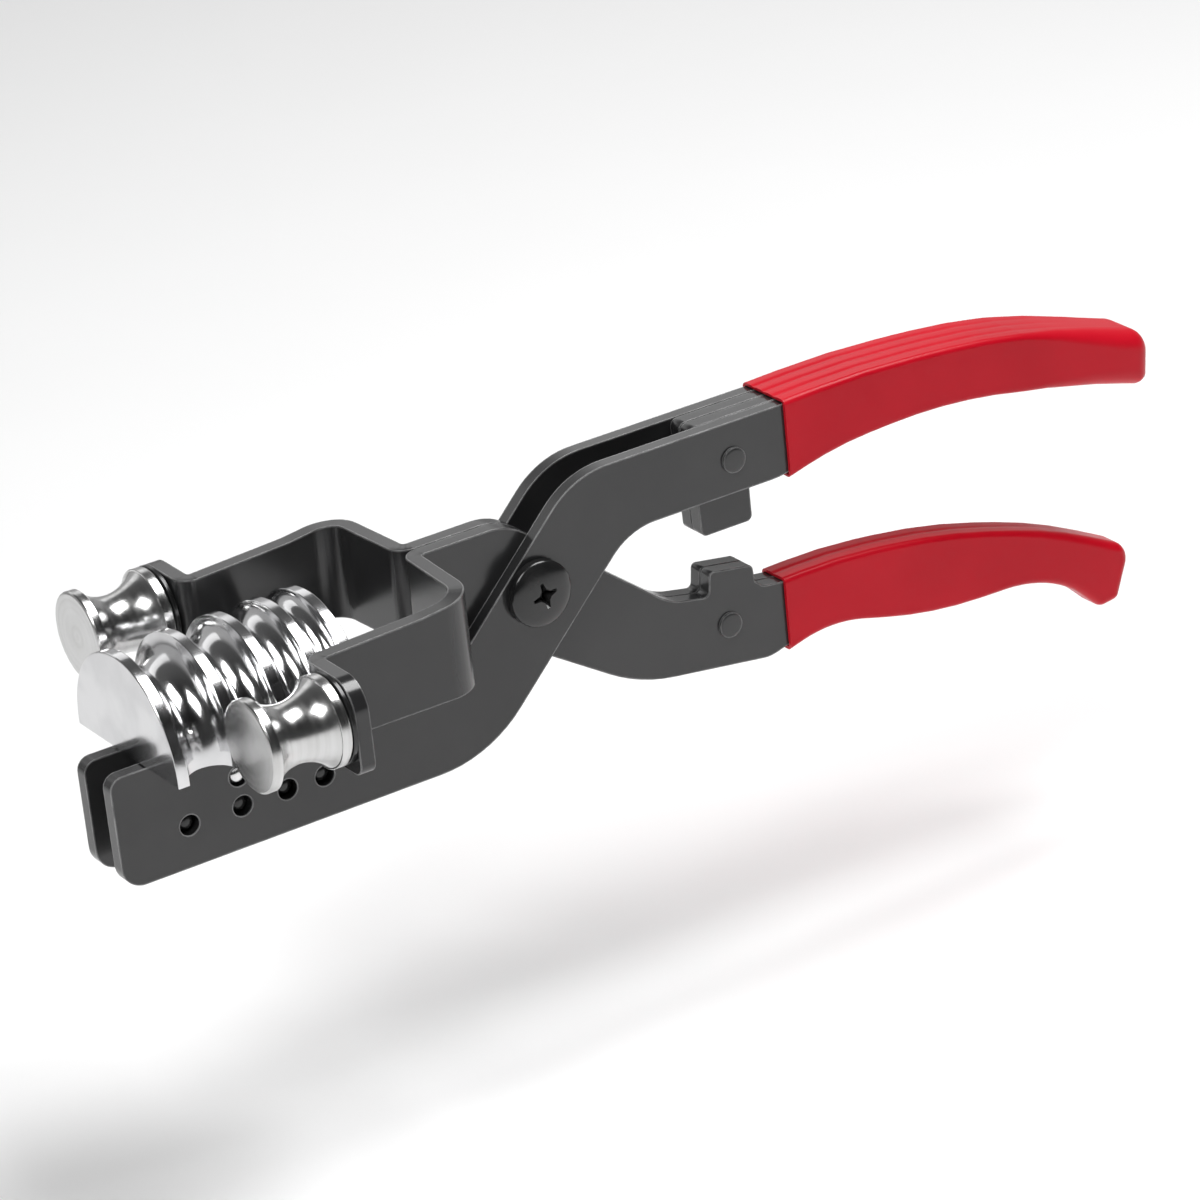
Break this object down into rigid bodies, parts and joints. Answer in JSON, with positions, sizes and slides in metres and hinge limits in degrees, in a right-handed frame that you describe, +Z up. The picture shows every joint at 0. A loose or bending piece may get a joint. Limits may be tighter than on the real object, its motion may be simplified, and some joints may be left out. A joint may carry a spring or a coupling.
{
  "type": "tube bending pliers",
  "caption": "Crossing-lever hand pliers that press thin metal tube over a grooved half-round former with waisted rollers.",
  "frame": {"origin": "centre of the bounding box, on the mid plane between the plates", "axes": "+X from the jaw to the handles, +Y to the nut side, +Z up from the lower jaw to the rollers"},
  "size_m": [0.236, 0.081, 0.0688],
  "materials": {
    "black_paint": "satin black paint",
    "black_oxide": "glossy black finish",
    "chrome": "bright plated",
    "pin_steel": "bright steel",
    "turned_aluminium": "bright turned",
    "red_vinyl": "glossy dipped vinyl"
  },
  "bodies": {
    "former_lever": {"side_plate_near": "black_paint", "side_plate_far": "black_paint", "handle_filler_near": "black_paint", "handle_filler_far": "black_paint", "former": "chrome", "former_pin_1": "pin_steel", "former_pin_2": "pin_steel", "former_pin_3": "pin_steel", "former_pin_4": "pin_steel", "former_dowel": "pin_steel", "pivot_screw": "black_oxide", "pivot_nut": "black_oxide", "upper_rivet": "black_oxide", "upper_grip": "red_vinyl"},
    "roller_lever": {"roller_arm_near": "black_paint", "roller_arm_far": "black_paint", "lower_rivet": "black_oxide", "lower_grip": "red_vinyl", "roller_axle_near": "pin_steel", "roller_axle_far": "pin_steel", "roller_washer_near": "black_oxide", "roller_washer_far": "black_oxide"},
    "near_roller": {"roller_near": "turned_aluminium"},
    "far_roller": {"roller_far": "turned_aluminium"}
  },
  "joints": [
    {"name": "lever_pivot", "type": "hinge", "parent": "former_lever", "child": "roller_lever", "pos_m": [-0.02663, 0, 0.01301], "axis": [0, -1, 0], "range_deg": [-20, 10.2]},
    {"name": "near_roller_spin", "type": "hinge", "parent": "roller_lever", "child": "near_roller", "pos_m": [-0.09433, -0.0318, 0.01621], "axis": [1, 0, 0], "continuous": true},
    {"name": "far_roller_spin", "type": "hinge", "parent": "roller_lever", "child": "far_roller", "pos_m": [-0.09433, 0.0318, 0.01621], "axis": [1, 0, 0], "continuous": true}
  ]
}
